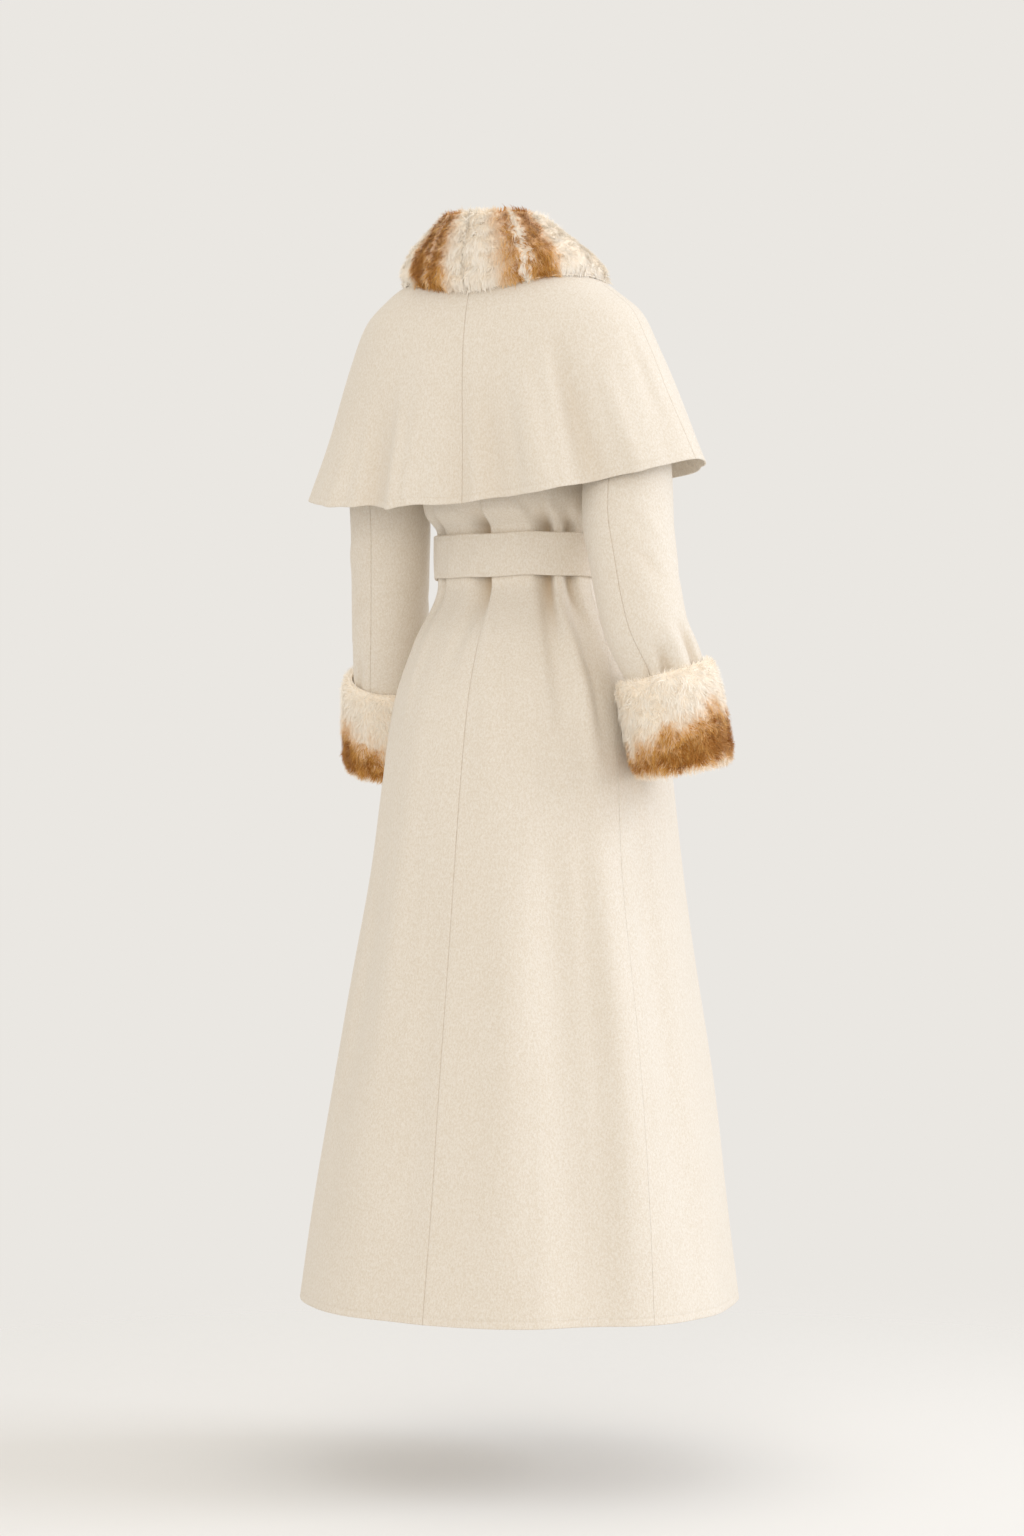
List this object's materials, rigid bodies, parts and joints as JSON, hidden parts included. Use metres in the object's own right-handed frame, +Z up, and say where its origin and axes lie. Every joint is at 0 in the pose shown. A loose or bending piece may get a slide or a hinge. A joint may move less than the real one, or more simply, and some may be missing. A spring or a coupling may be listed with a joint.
{
  "type": "caped coat",
  "caption": "Full-length cream wool coat flaring from a belted waist, with a sewn-in shoulder cape, fur collar and fur cuffs, in its worn hollow form, open at neck, hem and wrists.",
  "frame": {"origin": "on the garment's axis at the base of the neck, level with the neck edge at the back, where the wearer's neck and shoulders hold it up", "axes": "+Z up out of the neck, -Y the front, +X the wearer's left"},
  "size_m": [0.6456, 0.5307, 1.4253],
  "materials": {
    "wool_cloth": "felted wool coating with a short soft nap, cream",
    "fur": "short dense curly fur, cream with golden-brown patches"
  },
  "bodies": {
    "root": {"coat_back_left": "wool_cloth", "coat_back_right": "wool_cloth", "coat_front_left": "wool_cloth", "coat_front_right": "wool_cloth", "sleeve_left_upper": "wool_cloth", "sleeve_left_under": "wool_cloth", "sleeve_right_upper": "wool_cloth", "sleeve_right_under": "wool_cloth", "cape_back_left": "wool_cloth", "cape_back_right": "wool_cloth", "cape_front_left": "wool_cloth", "cape_front_right": "wool_cloth", "belt_band": "wool_cloth", "belt_knot": "wool_cloth", "belt_end_left": "wool_cloth", "belt_end_right": "wool_cloth", "collar_left": "fur", "collar_right": "fur", "cuff_left": "fur", "cuff_right": "fur"}
  },
  "joints": []
}
